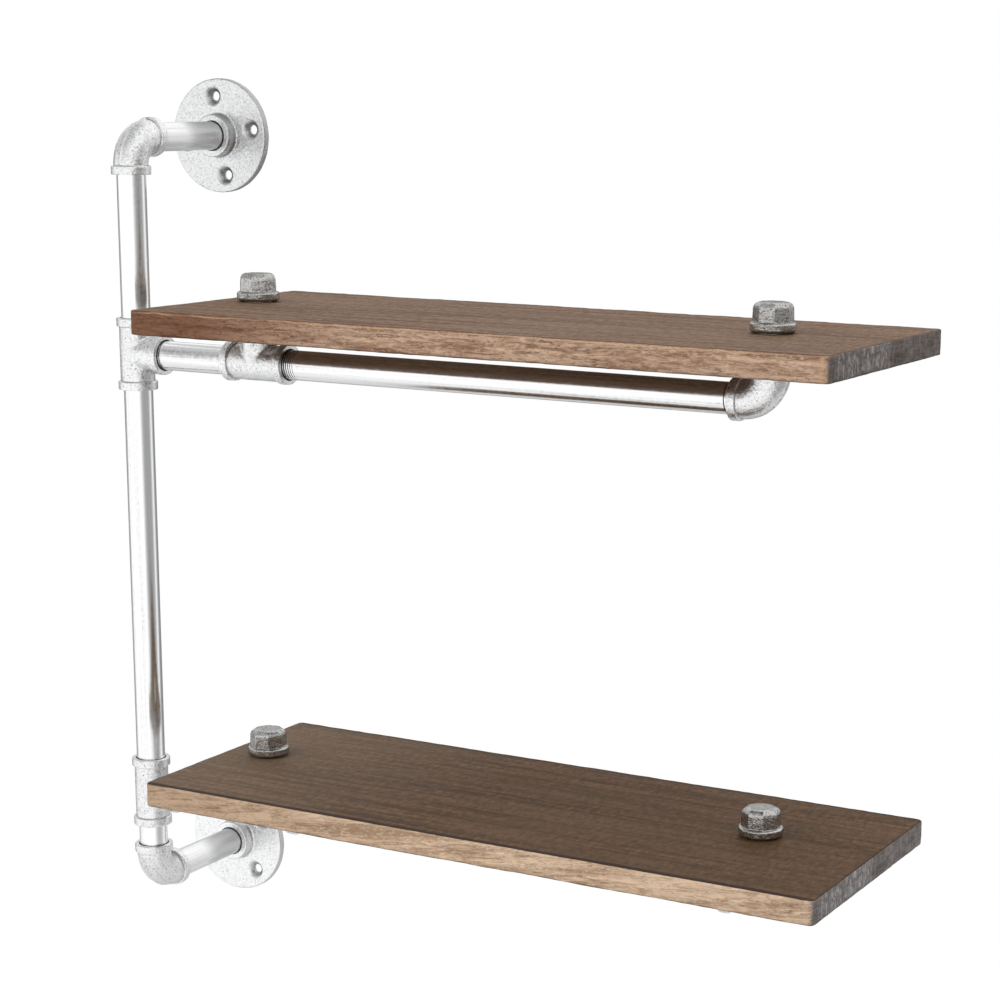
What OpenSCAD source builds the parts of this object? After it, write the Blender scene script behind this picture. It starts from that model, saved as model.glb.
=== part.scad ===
// Wall shelving unit made of galvanised half inch pipe and two wooden boards.
// One upright column of pipe stands off the wall on two flanges. At each board
// a tee in the column sends an arm of pipe to the right, and two short risers
// on the arm pass up through the board into screwed caps that hold it down.
// X runs along the boards, away from the column. Y points into the wall, and
// Z is up. The origin is the centre of the upper flange's screw circle, on the
// wall. Every size is in millimetres.

/* [Boards] */
// Length of a board, along the wall
board_l = 520; // [440:5:900]
// Depth of a board, from its front edge to its back edge
board_d = 194; // [150:1:300]
// Thickness of a board
board_t = 18; // [12:0.5:30]
// Radius of a board's upright corners
board_corner_r = 5; // [3:0.5:15]
// Radius of a board's softened top and bottom edges
board_edge_r = 1.5; // [0.5:0.1:2.5]
// Distance from the risers to a board's back edge
board_back = 88; // [50:1:98]
// Distance from the left riser to a board's left end
left_overhang = 33; // [20:1:90]
// Distance from the right riser to a board's right end
right_overhang = 84; // [20:1:200]
// Clearance all round a riser in its hole through the board
hole_gap = 0.6; // [0.2:0.1:0.9]

/* [Column and arms] */
// Distance from the wall to the middle of the column
wall_reach = 112; // [100:1:200]
// Height from the upper column tee to the upper flange
top_rise = 157; // [70:1:400]
// Height from one board to the next
board_pitch = 337; // [120:1:600]
// Height from the lower flange to the lower column tee
foot_rise = 69; // [60:1:300]
// Distance from the column to the left riser
arm_start = 111; // [64:1:250]

/* [Pipe] */
// Outside diameter of the pipe
pipe_d = 21.3; // [20:0.1:24]
// Wall of the pipe
pipe_wall = 2.6; // [2:0.1:3]
// Depth to which an engaged thread is cut below the pipe's skin
thread_cut = 0.65; // [0.4:0.05:0.8]
// Depth of the grooves of a thread that stays in sight
groove_depth = 1.1; // [0.5:0.1:1.4]
// Pitch of the thread
thread_pitch = 1.8; // [1.2:0.1:2.4]
// Turns of thread left in sight at the left end of an arm's long pipe
left_bare_turns = 5; // [0:1:8]
// Turns of thread left in sight at the right end of an arm's long pipe
right_bare_turns = 2; // [0:1:8]

/* [Fittings] */
// Distance from a fitting's centre to each of its ends
fitting_end = 26.5; // [25:0.5:30]
// Wall of a fitting round its threaded sockets
fitting_wall = 2.6; // [2:0.1:4]
// Height of the strengthening band above the fitting's body
band_rise = 1.75; // [1:0.05:3]
// Width of the strengthening band
band_w = 6.2; // [3:0.1:8]
// Radius that softens the edges of bands, caps and hubs
casting_r = 0.9; // [0.3:0.1:1.2]
// Radius of an elbow's bend, on its centre line
bend_r = 20; // [16:0.5:22]
// Depth of a threaded socket
socket_l = 12; // [9:0.5:14]
// Depth of the cone that opens a socket's mouth
mouth_l = 1.4; // [0.5:0.1:2.5]
// Width of the ring gap between a pipe and the mouth of its socket
mouth_gap = 0.85; // [0.4:0.05:1.2]
// Clearance round an engaged thread
thread_gap = 0.05; // [0.02:0.01:0.1]
// Space between a pipe's end and the bottom of its socket
end_gap = 0.5; // [0.2:0.1:1]

/* [Flanges] */
// Diameter of a wall flange
flange_d = 86; // [82:1:110]
// Thickness of a wall flange at its rim
flange_t = 6; // [4:0.5:8]
// Distance from the wall to the front of a flange's hub
hub_h = 15; // [13:0.5:24]
// Wall of a hub round its socket
hub_wall = 5.9; // [4:0.1:7]
// Radius of the fillet between a hub and its flange
hub_fillet_r = 1.5; // [1:0.5:5]
// Diameter of the circle of screw holes
screw_circle_d = 60; // [58:1:64]
// Diameter of a screw hole
screw_hole_d = 7; // [4:0.5:8]
// Diameter of a screw hole's countersink, on the front
screw_sink_d = 15.5; // [9:0.5:17]
// Depth of a screw hole's countersink
screw_sink_h = 4; // [2:0.5:4.5]
// Turn of the upper flange's holes, in degrees
upper_flange_turn = 9.5; // [0:0.5:90]
// Turn of the lower flange's holes, in degrees
lower_flange_turn = 35.5; // [0:0.5:90]

/* [Caps] */
// Height of a cap
cap_h = 19.5; // [17:0.5:26]
// Wall of a cap between its socket and one of its eight flats
cap_wall = 2.9; // [2.4:0.1:4]
// Amount by which a cap's top is narrower than its foot, on the radius
cap_taper = 0.9; // [0.2:0.1:1.5]
// Radius of the round shoulder at a cap's top
cap_shoulder_r = 4.2; // [2:0.1:5]
// Height of the round band at a cap's foot
cap_band_h = 6.4; // [4:0.1:8]
// Height of that band above the cap's corners
cap_band_rise = 1.2; // [0.5:0.1:2]

/* [Hidden] */

$fn = 64;
flats_in_cap = 8;
screw_count = 4;
// Turn of each cap's flats, as the caps came to rest when they were screwed down
cap_turns = [38.5, 4, 12, 7];
// Overrun of every cut past the face that it leaves by
overrun = 1;

pipe_bore_d = pipe_d - 2 * pipe_wall;
thread_d = pipe_d - 2 * thread_cut;
socket_d = thread_d + 2 * thread_gap;
mouth_d = pipe_d + 2 * mouth_gap;
engaged_l = socket_l - end_gap;
fitting_d = socket_d + 2 * fitting_wall;
band_d = fitting_d + 2 * band_rise;
hub_d = socket_d + 2 * hub_wall;
cap_flats_w = socket_d + 2 * cap_wall;
cap_corner_d = cap_flats_w / cos(180 / flats_in_cap);
cap_band_d = cap_corner_d + 2 * cap_band_rise;
board_hole_d = pipe_d + 2 * hole_gap;

column_y = -wall_reach;
upper_tee_z = -top_rise;
lower_tee_z = upper_tee_z - board_pitch;
foot_z = lower_tee_z - foot_rise;
riser_pitch = board_l - left_overhang - right_overhang;
arm_end = arm_start + riser_pitch;
wall_pipe_span = wall_reach - fitting_end - hub_h;
arm_nipple_span = arm_start - 2 * fitting_end;
arm_pipe_span = riser_pitch - 2 * fitting_end;

steel = [0.78, 0.79, 0.80];
zinc_casting = [0.72, 0.73, 0.73];
dark_casting = [0.52, 0.53, 0.54];
upper_wood = [0.50, 0.38, 0.30];
lower_wood = [0.44, 0.34, 0.27];

// Turns its child's +Z axis to +X.
module along_x() {
    rotate([0, 90, 0]) children();
}

// Turns its child's +Z axis to +Y.
module along_y() {
    rotate([-90, 0, 0]) children();
}

// Half section of a round bar from z0 to z1 whose outer corners are softened.
module soft_bar(radius, z0, z1, edge_r) {
    translate([0, z0]) square([radius - edge_r, z1 - z0]);
    translate([0, z0 + edge_r]) square([radius, z1 - z0 - 2 * edge_r]);
    for (z = [z0 + edge_r, z1 - edge_r])
        translate([radius - edge_r, z]) circle(r = edge_r);
}

// Section of a plank of the given width, with softened corners.
module plank_section(width, height, edge_r) {
    translate([edge_r, 0]) square([width - 2 * edge_r, height]);
    translate([0, edge_r]) square([width, height - 2 * edge_r]);
    for (x = [edge_r, width - edge_r], z = [edge_r, height - edge_r])
        translate([x, z]) circle(r = edge_r);
}

// Outline points of thread grooves that climb from z0, one notch for each turn.
function grooves(z0, turns) = [
    for (i = [0 : 1 : turns - 1], step = [0, 0.5])
        [pipe_d / 2 - (step == 0 ? groove_depth : 0), z0 + (i + step) * thread_pitch]
];

// Pipe along +Z whose skin shows from z = 0 to z = span. Each end goes on
// past that, turned down for its thread, into the socket of a fitting.
module pipe(span, turns_low = 0, turns_high = 0) {
    low = turns_low * thread_pitch;
    high = span - turns_high * thread_pitch;
    rotate_extrude() polygon(concat(
        [[pipe_bore_d / 2, -engaged_l], [thread_d / 2, -engaged_l], [thread_d / 2, 0]],
        grooves(0, turns_low),
        [[pipe_d / 2, low], [pipe_d / 2, high]],
        grooves(high + thread_pitch / 2, turns_high),
        [[thread_d / 2, span], [thread_d / 2, span + engaged_l], [pipe_bore_d / 2, span + engaged_l]]
    ));
}

// Threaded socket with a coned mouth, cut downwards from a face at z = 0.
module socket_cut() {
    translate([0, 0, -socket_l]) cylinder(d = socket_d, h = socket_l + overrun);
    translate([0, 0, -mouth_l]) cylinder(d1 = socket_d, d2 = mouth_d, h = mouth_l);
    cylinder(d = mouth_d, h = overrun);
}

// Outside of one limb of a fitting, from z = start to the fitting's end.
module limb(start) {
    translate([0, 0, start]) cylinder(d = fitting_d, h = fitting_end - start);
    rotate_extrude() soft_bar(band_d / 2, fitting_end - band_w, fitting_end, casting_r);
}

// Passage through one limb of a fitting, with its socket.
module limb_cut(start) {
    translate([0, 0, start]) cylinder(d = pipe_bore_d, h = fitting_end - start);
    translate([0, 0, fitting_end]) socket_cut();
}

// Quarter turn of round bar that joins a limb along +X to a limb along +Z.
module bend(d) {
    translate([bend_r, 0, bend_r])
        rotate([90, 0, 0])
        rotate([0, 0, 180])
        rotate_extrude(angle = 90)
        translate([bend_r, 0]) circle(d = d);
}

// Elbow with its centre at the origin, open along +X and +Z.
module elbow() {
    color(zinc_casting) difference() {
        union() {
            bend(fitting_d);
            limb(bend_r);
            along_x() limb(bend_r);
        }
        bend(pipe_bore_d);
        limb_cut(bend_r);
        along_x() limb_cut(bend_r);
    }
}

// Tee with its centre at the origin. It runs along X and branches along +Z.
module tee() {
    color(zinc_casting) difference() {
        union() {
            limb(0);
            for (side = [-1, 1]) rotate([0, side * 90, 0]) limb(0);
        }
        limb_cut(0);
        for (side = [-1, 1]) rotate([0, side * 90, 0]) limb_cut(0);
    }
}

// Half section of a flange: rim, hub, and the fillet between them.
module flange_section() {
    soft_bar(flange_d / 2, 0, flange_t, casting_r);
    soft_bar(hub_d / 2, 0, hub_h, casting_r);
    difference() {
        translate([0, flange_t]) square([hub_d / 2 + hub_fillet_r, hub_fillet_r]);
        translate([hub_d / 2 + hub_fillet_r, flange_t + hub_fillet_r]) circle(r = hub_fillet_r);
    }
}

// Wall flange whose back lies on the wall, with its hub towards the room.
module flange(turn) {
    color(zinc_casting) rotate([90, 0, 0]) difference() {
        rotate_extrude() flange_section();
        translate([0, 0, -overrun]) cylinder(d = socket_d, h = hub_h + 2 * overrun);
        translate([0, 0, hub_h]) socket_cut();
        for (i = [1 : screw_count]) rotate([0, 0, turn + i * 360 / screw_count])
            translate([screw_circle_d / 2, 0, 0]) {
                translate([0, 0, -overrun]) cylinder(d = screw_hole_d, h = flange_t + 2 * overrun);
                translate([0, 0, flange_t - screw_sink_h])
                    cylinder(d1 = screw_hole_d, d2 = screw_sink_d, h = screw_sink_h);
                translate([0, 0, flange_t]) cylinder(d = screw_sink_d, h = overrun);
            }
    }
}

// Half section of the round blank from which a cap's flats are cut.
module cap_section() {
    top_r = cap_corner_d / 2 - cap_taper;
    shoulder_z = cap_h - cap_shoulder_r;
    polygon([[0, 0], [cap_corner_d / 2, 0], [top_r, shoulder_z], [0, shoulder_z]]);
    translate([0, shoulder_z]) square([top_r - cap_shoulder_r, cap_shoulder_r]);
    translate([top_r - cap_shoulder_r, shoulder_z]) circle(r = cap_shoulder_r);
}

// Cap that stands on z = 0, closed at the top, with its socket below.
module cap(turn) {
    color(dark_casting) rotate([0, 0, turn]) difference() {
        union() {
            intersection() {
                rotate([0, 0, 180 / flats_in_cap])
                    cylinder(d = cap_corner_d, h = cap_h, $fn = flats_in_cap);
                rotate_extrude() cap_section();
            }
            rotate_extrude() soft_bar(cap_band_d / 2, 0, cap_band_h, casting_r);
        }
        mirror([0, 0, 1]) socket_cut();
    }
}

// Board in place under its caps, its underside on z = 0 and its left riser on x = 0.
module board(wood) {
    inner_l = board_l - 2 * board_corner_r;
    inner_d = board_d - 2 * board_corner_r;
    color(wood) difference() {
        translate([-left_overhang, board_back - board_d, 0]) union() {
            translate([board_corner_r, 0, 0]) rotate([90, 0, 90])
                linear_extrude(height = inner_l) plank_section(board_d, board_t, board_edge_r);
            translate([0, board_corner_r + inner_d, 0]) rotate([90, 0, 0])
                linear_extrude(height = inner_d) plank_section(board_l, board_t, board_edge_r);
            for (x = [0, inner_l], y = [0, inner_d])
                translate([board_corner_r + x, board_corner_r + y, 0])
                rotate_extrude() soft_bar(board_corner_r, 0, board_t, board_edge_r);
        }
        for (x = [0, riser_pitch])
            translate([x, 0, -overrun]) cylinder(d = board_hole_d, h = board_t + 2 * overrun);
    }
}

// Puts its child on the line of the column at the given height.
module at_column(z) {
    translate([0, column_y, z]) children();
}

// Puts its child on the end of an arm's upward branch.
module at_branch(x, z) {
    at_column(z + fitting_end) translate([x, 0, 0]) children();
}

// Pipe from the back of a wall elbow into the flange's hub.
module wall_pipe(z) {
    color(steel) at_column(z) translate([0, fitting_end, 0]) along_y() pipe(wall_pipe_span);
}

// Upright pipe from the top end of one fitting to the bottom end of the next.
module column_pipe(low_z, high_z) {
    color(steel) at_column(low_z + fitting_end) pipe(high_z - low_z - 2 * fitting_end);
}

// Tee in the column with its branch along +X.
module column_tee(z) {
    at_column(z) along_x() tee();
}

// Short pipe from a column tee to the first tee of its arm.
module arm_nipple(z) {
    color(steel) at_column(z) translate([fitting_end, 0, 0]) along_x() pipe(arm_nipple_span);
}

// Tee in an arm with its branch upwards.
module arm_tee(z) {
    at_column(z) translate([arm_start, 0, 0]) tee();
}

// Long pipe of an arm, with some turns of its thread in sight at both ends.
module arm_pipe(z) {
    color(steel) at_column(z) translate([arm_start + fitting_end, 0, 0])
        along_x() pipe(arm_pipe_span, left_bare_turns, right_bare_turns);
}

// Elbow at the far end of an arm, open to the left and upwards.
module arm_elbow(z) {
    at_column(z) translate([arm_end, 0, 0]) mirror([1, 0, 0]) elbow();
}

// Nipple that stands in an arm's branch and passes up through the board.
module riser(x, z) {
    color(steel) at_branch(x, z) pipe(board_t);
}

// Cap screwed down on a riser, on the top of the board.
module riser_cap(x, z, turn) {
    at_branch(x, z) translate([0, 0, board_t]) cap(turn);
}

flange(upper_flange_turn);  // upper_flange
translate([0, 0, foot_z]) flange(lower_flange_turn);  // lower_flange
wall_pipe(0);  // upper_wall_pipe
wall_pipe(foot_z);  // lower_wall_pipe
at_column(0) rotate([180, 0, 90]) elbow();  // upper_wall_elbow
at_column(foot_z) rotate([0, 0, 90]) elbow();  // lower_wall_elbow
column_pipe(upper_tee_z, 0);  // upper_column_pipe
column_pipe(lower_tee_z, upper_tee_z);  // middle_column_pipe
column_pipe(foot_z, lower_tee_z);  // lower_column_nipple
column_tee(upper_tee_z);  // upper_column_tee
column_tee(lower_tee_z);  // lower_column_tee
arm_nipple(upper_tee_z);  // upper_arm_nipple
arm_nipple(lower_tee_z);  // lower_arm_nipple
arm_tee(upper_tee_z);  // upper_arm_tee
arm_tee(lower_tee_z);  // lower_arm_tee
arm_pipe(upper_tee_z);  // upper_arm_pipe
arm_pipe(lower_tee_z);  // lower_arm_pipe
arm_elbow(upper_tee_z);  // upper_arm_elbow
arm_elbow(lower_tee_z);  // lower_arm_elbow
riser(arm_start, upper_tee_z);  // upper_left_riser
riser(arm_end, upper_tee_z);  // upper_right_riser
riser(arm_start, lower_tee_z);  // lower_left_riser
riser(arm_end, lower_tee_z);  // lower_right_riser
at_branch(arm_start, upper_tee_z) board(upper_wood);  // upper_board
at_branch(arm_start, lower_tee_z) board(lower_wood);  // lower_board
riser_cap(arm_start, upper_tee_z, cap_turns[0]);  // upper_left_cap
riser_cap(arm_end, upper_tee_z, cap_turns[1]);  // upper_right_cap
riser_cap(arm_start, lower_tee_z, cap_turns[2]);  // lower_left_cap
riser_cap(arm_end, lower_tee_z, cap_turns[3]);  // lower_right_cap
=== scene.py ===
from math import cos, pi, radians, sin

import bpy
from mathutils import Matrix, Vector


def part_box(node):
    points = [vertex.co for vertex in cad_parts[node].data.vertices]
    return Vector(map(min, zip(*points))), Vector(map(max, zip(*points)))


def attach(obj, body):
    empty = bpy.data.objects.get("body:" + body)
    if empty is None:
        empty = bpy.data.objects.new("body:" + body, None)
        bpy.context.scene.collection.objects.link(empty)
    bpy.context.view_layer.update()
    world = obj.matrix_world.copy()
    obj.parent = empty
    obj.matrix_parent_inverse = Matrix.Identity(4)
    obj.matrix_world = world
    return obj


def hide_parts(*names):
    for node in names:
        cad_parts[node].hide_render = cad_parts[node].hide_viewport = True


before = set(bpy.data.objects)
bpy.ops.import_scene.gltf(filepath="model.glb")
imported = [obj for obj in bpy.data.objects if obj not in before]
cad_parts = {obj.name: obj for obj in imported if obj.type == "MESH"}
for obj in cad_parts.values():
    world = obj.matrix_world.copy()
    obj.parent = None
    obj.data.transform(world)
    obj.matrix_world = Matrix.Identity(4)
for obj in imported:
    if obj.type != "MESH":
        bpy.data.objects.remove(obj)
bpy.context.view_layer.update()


# View, studio and floor.
# The camera stands to the right of the unit, a little above its middle, and
# looks slightly down. The studio is white and lit by large soft lamps. Metal
# also mirrors soft grey walls in it, which draw the dark bands on the pipes.
camera_spot = (1.12979, -1.50695, 0.03897)
camera_turn = 27.183
camera_dip = 12.651
camera_roll = 0.668
camera_data = bpy.data.cameras.new("photo_camera")
camera_data.sensor_width = 36
camera_data.lens = 85.284
camera_data.shift_x = -0.13
camera_data.shift_y = 0.12
camera_data.clip_end = 50
camera = bpy.data.objects.new("photo_camera", camera_data)
bpy.context.scene.collection.objects.link(camera)
camera.matrix_world = (
    Matrix.Translation(camera_spot)
    @ Matrix.Rotation(radians(camera_turn), 4, "Z")
    @ Matrix.Rotation(radians(90 - camera_dip), 4, "X")
    @ Matrix.Rotation(radians(camera_roll), 4, "Z")
)
bpy.context.scene.camera = camera
bpy.context.scene.view_settings.view_transform = "Standard"


unit_middle = Vector((0.3, -0.1, -0.25))


def soft_lamp(name, spot, side, watts):
    """A square lamp that hangs at its spot and shines on the middle of the unit."""
    lamp_data = bpy.data.lights.new(name, "AREA")
    lamp_data.shape = "SQUARE"
    lamp_data.size = side
    lamp_data.energy = watts
    lamp = bpy.data.objects.new(name, lamp_data)
    bpy.context.scene.collection.objects.link(lamp)
    beam = unit_middle - Vector(spot)
    lamp.matrix_world = Matrix.Translation(spot) @ beam.to_track_quat("-Z", "Y").to_matrix().to_4x4()
    lamp.visible_camera = False
    lamp.visible_glossy = False


soft_lamp("front_left_lamp", spot=(-1.3, -2.3, 1.2), side=2.2, watts=28)
soft_lamp("front_right_lamp", spot=(2.5, -1.9, 0.8), side=1.6, watts=10)
soft_lamp("back_lamp", spot=(0.2, 2.4, 1.1), side=1.6, watts=8)
soft_lamp("low_lamp", spot=(0.3, -1.7, -0.9), side=1.4, watts=9)
soft_lamp("top_lamp", spot=(0.3, -0.3, 2.2), side=2.2, watts=17)


def node_adder(tree):
    """A function that adds one node to the tree, sets it up and joins its sockets.

    A socket is given by its name with underscores for spaces, or by its number as i0, i1 and so on.
    """
    def add(kind, settings=None, **sockets):
        node = tree.nodes.new("ShaderNode" + kind)
        for key, value in (settings or {}).items():
            setattr(node, key, value)
        for key, value in sockets.items():
            numbered = key[0] == "i" and key[1:].isdigit()
            socket = node.inputs[int(key[1:])] if numbered else node.inputs[key.replace("_", " ")]
            if isinstance(value, bpy.types.NodeSocket):
                tree.links.new(value, socket)
            else:
                socket.default_value = value
        return node

    return add


def studio_tone(add, outward, gleam):
    """How bright metal sees the studio in a direction: the gleam, dimmed towards each of its grey walls."""
    # Back, left, far right, right, top and foot: where each grey is, its edge, its core and its level.
    greys = (
        ((-0.33, 0.91, -0.25), 0.58, 0.85, 0.24),
        ((-0.95, 0.30, 0.00), 0.86, 0.97, 0.35),
        ((0.72, 0.69, 0.00), 0.85, 0.97, 0.88),
        ((0.99, 0.02, -0.08), 0.58, 0.93, 0.33),
        ((-0.45, -0.25, 0.86), 0.68, 0.90, 0.52),
        ((-0.45, 0.25, -0.86), 0.75, 0.95, 0.45),
    )
    # A direction's height counts for more than its breadth, so that the side walls end sooner upwards.
    steeper = (1.0, 1.0, 1.7)
    outward = add("VectorMath", {"operation": "MULTIPLY"}, i0=outward, i1=steeper).outputs[0]
    outward = add("VectorMath", {"operation": "NORMALIZE"}, i0=outward).outputs[0]
    for aim, edge, core, level in greys:
        facing = add("VectorMath", {"operation": "DOT_PRODUCT"}, i0=outward, i1=aim)
        grey = add("MapRange", {"interpolation_type": "SMOOTHSTEP"}, Value=facing.outputs["Value"],
                   From_Min=edge, From_Max=core, To_Min=1.0, To_Max=level)
        gleam = add("Math", {"operation": "MULTIPLY"}, i0=gleam, i1=grey.outputs[0]).outputs[0]
    return gleam


# The room is plain white where it is seen straight, and has the greys where metal mirrors it.
room_light = 0.42
white_gleam = 1.12
studio = bpy.data.worlds.new("studio")
bpy.context.scene.world = studio
studio.use_nodes = True
studio.node_tree.nodes.clear()
add = node_adder(studio.node_tree)
ray = add("LightPath").outputs
outward = add("TexCoord").outputs["Generated"]
gleam = studio_tone(add, outward, white_gleam)
light = add("Mix", {"data_type": "FLOAT"}, Factor=ray["Is Glossy Ray"], A=room_light, B=gleam)
plain = add("Math", {"operation": "MAXIMUM"}, i0=ray["Is Camera Ray"], i1=ray["Is Transmission Ray"])
light = add("Mix", {"data_type": "FLOAT"}, Factor=plain.outputs[0], A=light.outputs[0], B=1.0)
backdrop = add("Background", None, Color=(1, 1, 1, 1), Strength=light.outputs[0])
add("OutputWorld", None, Surface=backdrop.outputs[0])


def shader_sheet(name):
    """A new material, its Principled shader, and functions that add a node and join it to the shader."""
    material = bpy.data.materials.new(name)
    material.use_nodes = True
    shader = material.node_tree.nodes["Principled BSDF"]

    def join(value, socket_name):
        material.node_tree.links.new(value, shader.inputs[socket_name])

    return material, shader, node_adder(material.node_tree), join


# The floor is pale paint that takes the unit's shadow. Far from the unit it turns into plain white glow.
floor_z = -0.95
floor_side = 24
floor_tone = (0.86, 0.86, 0.86, 1)
black = (0, 0, 0, 1)
floor_paint, floor_shader, add, join = shader_sheet("floor_paint")
ray = add("LightPath").outputs
spot = add("TexCoord").outputs["Object"]
far = add("VectorMath", {"operation": "LENGTH"}, i0=spot)
fade = add("MapRange", {"interpolation_type": "SMOOTHSTEP"}, Value=far.outputs["Value"],
           From_Min=0.5, From_Max=1.7)
tone = add("Mix", {"data_type": "RGBA"}, Factor=fade.outputs[0], A=floor_tone, B=black)
join(tone.outputs[2], "Base Color")
plain = add("Math", {"operation": "MAXIMUM"}, i0=ray["Is Camera Ray"], i1=ray["Is Transmission Ray"])
lift = add("MapRange", None, Value=fade.outputs[0], To_Min=0.4, To_Max=1.0)
seen_glow = add("Math", {"operation": "MULTIPLY"}, i0=plain.outputs[0], i1=lift.outputs[0])
# The floor's directions are counted from a spot that is this high over it, a little below the unit.
above_floor = (unit_middle.x, unit_middle.y, 0.3)
outward = add("VectorMath", {"operation": "SUBTRACT"}, i0=spot, i1=above_floor)
lift = add("MapRange", None, Value=fade.outputs[0], To_Min=0.2, To_Max=white_gleam)
gleam = studio_tone(add, outward.outputs[0], lift.outputs[0])
gleam_glow = add("Math", {"operation": "MULTIPLY"}, i0=ray["Is Glossy Ray"], i1=gleam)
glow = add("Math", {"operation": "ADD"}, i0=seen_glow.outputs[0], i1=gleam_glow.outputs[0])
join(glow.outputs[0], "Emission Strength")
floor_shader.inputs["Emission Color"].default_value = (1, 1, 1, 1)
floor_shader.inputs["Roughness"].default_value = 0.9
floor_shader.inputs["Specular IOR Level"].default_value = 0
bpy.ops.object.select_all(action="DESELECT")
bpy.ops.mesh.primitive_plane_add(size=floor_side, location=(0, 0, floor_z))
floor = bpy.context.object
floor.name = "studio_floor"
floor.data.materials.append(floor_paint)


# Pipes and nipples.
# Half inch steel pipe, hot-dip galvanised, so the skin is bright and smooth
# with grey streaks along it. The ends carry a cut thread that goes into the
# fittings. Some turns of it stay in sight, bare and brown with cutting oil.
pipe_r = 0.01065
bore_r = 0.00805
thread_r = 0.0100
groove_depth = 0.0011
thread_pitch = 0.0018
socket_l = 0.012
end_gap = 0.0005
engaged_l = socket_l - end_gap
quarter = radians(90)
upwards = Matrix.Identity(4)
sideways = Matrix.Rotation(quarter, 4, "Y")
inwards = Matrix.Rotation(-quarter, 4, "X")
upside_down = Matrix.Rotation(2 * quarter, 4, "X")


def middle(node):
    """The middle of a node's box."""
    low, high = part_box(node)
    return (low + high) / 2


def alone(piece):
    """Selects one piece and nothing else."""
    bpy.ops.object.select_all(action="DESELECT")
    piece.select_set(True)
    bpy.context.view_layer.objects.active = piece


def settle(piece, where=None):
    """Puts the piece in its place, and that place into its mesh."""
    if where is not None:
        piece.matrix_world = where
    alone(piece)
    bpy.ops.object.transform_apply(location=True, rotation=True, scale=True)
    return piece


def turned(name, outline, steps=80):
    """A solid of revolution about Z, drawn out from a circle along its outline and closed on itself."""
    bpy.ops.object.select_all(action="DESELECT")
    r, z = outline[0]
    bpy.ops.mesh.primitive_circle_add(vertices=steps, radius=r, location=(0, 0, z))
    piece = settle(bpy.context.object)
    piece.name = name
    bpy.ops.object.mode_set(mode="EDIT")
    bpy.ops.mesh.select_mode(type="EDGE")
    bpy.ops.mesh.select_all(action="SELECT")
    for next_r, next_z in outline[1:]:
        bpy.ops.mesh.extrude_region_move(TRANSFORM_OT_translate={"value": (0, 0, next_z - z)})
        bpy.ops.transform.resize(value=(next_r / r, next_r / r, 1), center_override=(0, 0, 0))
        r, z = next_r, next_z
    bpy.ops.mesh.select_all(action="DESELECT")
    bpy.ops.mesh.select_non_manifold(extend=False, use_wire=False, use_boundary=True,
                                     use_multi_face=False, use_non_contiguous=False, use_verts=False)
    bpy.ops.mesh.bridge_edge_loops()
    bpy.ops.mesh.select_all(action="SELECT")
    bpy.ops.mesh.normals_make_consistent(inside=False)
    bpy.ops.object.mode_set(mode="OBJECT")
    return piece


def modify(piece, kind, **settings):
    """Puts one modifier on a piece and applies it."""
    modifier = piece.modifiers.new(kind.lower(), kind)
    for key, value in settings.items():
        setattr(modifier, key, value)
    alone(piece)
    bpy.ops.object.modifier_apply(modifier=modifier.name)
    return piece


def shape(piece, how, tool):
    """Joins or cuts a piece with another one, which is used up."""
    modify(piece, "BOOLEAN", operation=how, solver="MANIFOLD", object=tool)
    bpy.data.objects.remove(tool)
    return piece


def weld(piece):
    """Merges the points that the cuts have left on one another."""
    alone(piece)
    bpy.ops.object.mode_set(mode="EDIT")
    bpy.ops.mesh.select_mode(type="VERT")
    bpy.ops.mesh.select_all(action="SELECT")
    bpy.ops.mesh.remove_doubles(threshold=1e-6)
    bpy.ops.object.mode_set(mode="OBJECT")


def thread_cutter(turns):
    """A V groove that winds up from z = 0 and runs out of the pipe's skin at its last turn."""
    bpy.ops.object.select_all(action="DESELECT")
    bpy.ops.mesh.primitive_circle_add(vertices=3, radius=thread_pitch / 2, location=(0, 0, 0))
    # Turned so that its corner points to the axis, the triangle is the groove's section.
    tooth = settle(bpy.context.object, Matrix.Rotation(quarter, 4, "X") @ Matrix.Rotation(quarter, 4, "Z"))
    # It is stretched to the groove's depth, and its back stands a little proud of the pipe's skin.
    proud = 0.0003
    tooth_h = 0.75 * thread_pitch
    tooth_back = 0.25 * thread_pitch
    stretch = (groove_depth + proud) / tooth_h
    outward = pipe_r + proud - tooth_back * stretch
    settle(tooth, Matrix.Translation((outward, 0, 0)) @ Matrix.Diagonal((stretch, 1, 1, 1)))
    modify(tooth, "SCREW", axis="Z", screw_offset=thread_pitch, iterations=turns, steps=64, render_steps=64)
    bpy.ops.object.mode_set(mode="EDIT")
    bpy.ops.mesh.select_all(action="SELECT")
    bpy.ops.mesh.remove_doubles(threshold=1e-6)
    bpy.ops.mesh.select_all(action="SELECT")
    bpy.ops.mesh.fill_holes(sides=3)
    bpy.ops.mesh.select_all(action="SELECT")
    bpy.ops.mesh.normals_make_consistent(inside=False)
    bpy.ops.object.mode_set(mode="OBJECT")
    return modify(tooth, "SIMPLE_DEFORM", deform_method="TAPER", deform_axis="Z", factor=0.09)


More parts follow.
